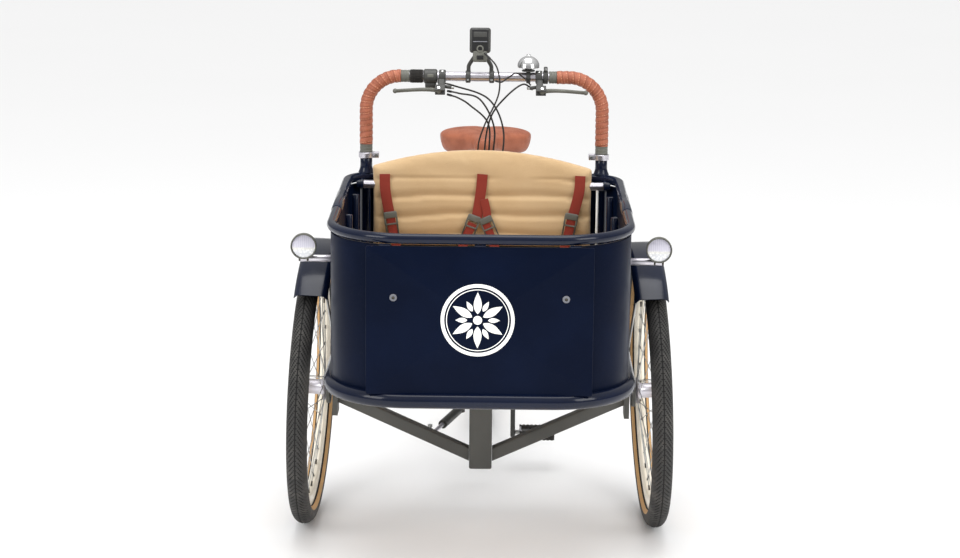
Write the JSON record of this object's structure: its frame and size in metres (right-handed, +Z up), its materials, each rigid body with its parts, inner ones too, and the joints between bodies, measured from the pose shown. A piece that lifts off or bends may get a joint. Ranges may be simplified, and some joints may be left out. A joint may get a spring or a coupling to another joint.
{
  "type": "cargo tricycle",
  "caption": "Front-box cargo tricycle: a rounded panel box with bench and harness steers on a kingpin between spoked wheels, pushed by a pedal-driven rear frame.",
  "frame": {"origin": "on the ground under the middle of the overall box", "axes": "+Z up, the cargo box at -Y and the rear wheel at +Y, +X to the left of a rider who looks over the box"},
  "size_m": [0.8886, 1.946, 1.1629],
  "materials": {
    "aluminium": "polished aluminium",
    "canvas": "beige gold canvas",
    "frame_navy": "deep navy gloss",
    "lamp_red": "red lens",
    "leather_tan": "stitched tan leather",
    "panel_navy": "deep navy gloss",
    "plastic_black": "matt black plastic",
    "plastic_grey": "grey plastic",
    "plywood": "oiled plywood",
    "rim_cream": "cream enamel",
    "rubber_black": "black rubber",
    "saddle_leather": "brown leather",
    "steel": "bright steel",
    "steel_grey": "satin dark grey",
    "tyre_black": "black rubber",
    "webbing_red": "brick red webbing"
  },
  "bodies": {
    "rear_frame": {"main_frame": "frame_navy", "chain_stays": "frame_navy", "seat_stays": "frame_navy", "rear_axle": "steel", "rear_mudguard": "frame_navy", "rear_rack": "steel_grey", "battery": "plastic_black", "chain_case": "panel_navy", "chain": "steel", "rear_lamp": "lamp_red"},
    "damper_tube": {"damper_cylinder": "plastic_black"},
    "damper_piston": {"damper_rod": "steel"},
    "front_carrier": {"steering_head": "steel_grey", "kingpin": "steel", "axle_struts": "steel_grey", "left_stub_axle": "steel_grey", "right_stub_axle": "steel_grey", "floor_beams": "steel_grey", "bottom_ring": "frame_navy", "top_rim": "frame_navy", "floor_panel": "plywood", "front_panel": "panel_navy", "left_side_panel": "panel_navy", "right_side_panel": "panel_navy", "rear_panel": "panel_navy", "panel_fixings": "steel_grey", "box_uprights": "frame_navy", "bench_board": "plywood", "bench_cushion": "canvas", "backrest_pad": "canvas", "backrest_bar": "aluminium", "harness_straps": "webbing_red", "harness_buckles": "plastic_grey", "handlebar": "aluminium", "post_clamps": "aluminium", "bar_wraps": "leather_tan", "bar_sleeves": "plastic_grey", "lever_clamps": "plastic_black", "display_unit": "plastic_black", "bell": "aluminium", "control_cables": "rubber_black", "lamp_arms": "aluminium", "front_lamps": "plastic_black", "left_mudguard": "frame_navy", "right_mudguard": "frame_navy"},
    "left_front_wheel": {"left_wheel": "rim_cream", "left_tyre": "tyre_black"},
    "right_front_wheel": {"right_wheel": "rim_cream", "right_tyre": "tyre_black"},
    "rear_road_wheel": {"rear_wheel": "rim_cream", "rear_tyre": "tyre_black"},
    "cranks": {"crankset": "aluminium"},
    "left_pedal_body": {"left_pedal": "plastic_black"},
    "right_pedal_body": {"right_pedal": "plastic_black"},
    "saddle_body": {"saddle_unit": "saddle_leather"},
    "left_lever": {"left_brake_lever": "plastic_grey"},
    "right_lever": {"right_brake_lever": "plastic_grey"},
    "shift_grip": {"twist_grip": "rubber_black"},
    "display_key": {"display_button": "plastic_grey"},
    "bell_thumb_lever": {"bell_lever": "plastic_black"}
  },
  "joints": [
    {"name": "steering", "type": "hinge", "parent": "rear_frame", "child": "front_carrier", "pos_m": [0, -0.245, 0.228], "axis": [0, 0, 1], "range_deg": [-27, 27]},
    {"name": "damper_swing", "type": "hinge", "parent": "rear_frame", "child": "damper_tube", "pos_m": [-0.056, -0.013, 0.196], "axis": [0, 0, 1], "range_deg": [-6, 6]},
    {"name": "damper_stroke", "type": "slide", "parent": "damper_tube", "child": "damper_piston", "axis": [-0.2534, -0.9674, 0], "range_m": [-0.058, 0.058]},
    {"name": "left_wheel_spin", "type": "hinge", "parent": "front_carrier", "child": "left_front_wheel", "pos_m": [-0.402, -0.305, 0.32582], "axis": [0.9985, -0.0419, -0.0349], "continuous": true},
    {"name": "right_wheel_spin", "type": "hinge", "parent": "front_carrier", "child": "right_front_wheel", "pos_m": [0.402, -0.305, 0.32582], "axis": [0.9985, 0.0419, 0.0349], "continuous": true},
    {"name": "rear_wheel_spin", "type": "hinge", "parent": "rear_frame", "child": "rear_road_wheel", "pos_m": [0, 0.625, 0.326], "axis": [1, 0, 0], "continuous": true},
    {"name": "crank_spin", "type": "hinge", "parent": "rear_frame", "child": "cranks", "pos_m": [0, 0.145, 0.265], "axis": [1, 0, 0], "continuous": true},
    {"name": "left_pedal_spin", "type": "hinge", "parent": "cranks", "child": "left_pedal_body", "pos_m": [-0.141, 0.145, 0.435], "axis": [1, 0, 0], "continuous": true},
    {"name": "right_pedal_spin", "type": "hinge", "parent": "cranks", "child": "right_pedal_body", "pos_m": [0.141, 0.145, 0.095], "axis": [1, 0, 0], "continuous": true},
    {"name": "saddle_height", "type": "slide", "parent": "rear_frame", "child": "saddle_body", "axis": [0, 0.3746, 0.9272], "range_m": [0, 0.1]},
    {"name": "left_brake_pull", "type": "hinge", "parent": "front_carrier", "child": "left_lever", "pos_m": [-0.108, -0.1957, 1.0233], "axis": [0, 0.7071, -0.7071], "range_deg": [0, 8], "stiffness_Nm_per_rad": 1, "springref_deg": -8.59},
    {"name": "right_brake_pull", "type": "hinge", "parent": "front_carrier", "child": "right_lever", "pos_m": [0.137, -0.1957, 1.0233], "axis": [0, -0.7071, 0.7071], "range_deg": [0, 8], "stiffness_Nm_per_rad": 1, "springref_deg": -8.59},
    {"name": "gear_twist", "type": "hinge", "parent": "front_carrier", "child": "shift_grip", "pos_m": [-0.1615, -0.166, 1.053], "axis": [1, 0, 0], "range_deg": [-60, 60]},
    {"name": "display_press", "type": "slide", "parent": "front_carrier", "child": "display_key", "axis": [0, -0.9781, 0.2079], "range_m": [0, 0.0012], "stiffness_N_per_m": 400, "springref_m": -0.001},
    {"name": "bell_flick", "type": "hinge", "parent": "front_carrier", "child": "bell_thumb_lever", "pos_m": [0.104, -0.166, 1.073], "axis": [0, 0, 1], "range_deg": [0, 30], "stiffness_Nm_per_rad": 0.05, "springref_deg": -11.46}
  ],
  "couplings": [
    {"joint": "damper_swing", "follows": "steering", "ratio": 0.174},
    {"joint": "damper_stroke", "follows": "steering", "m_per_rad": 0.1118}
  ]
}
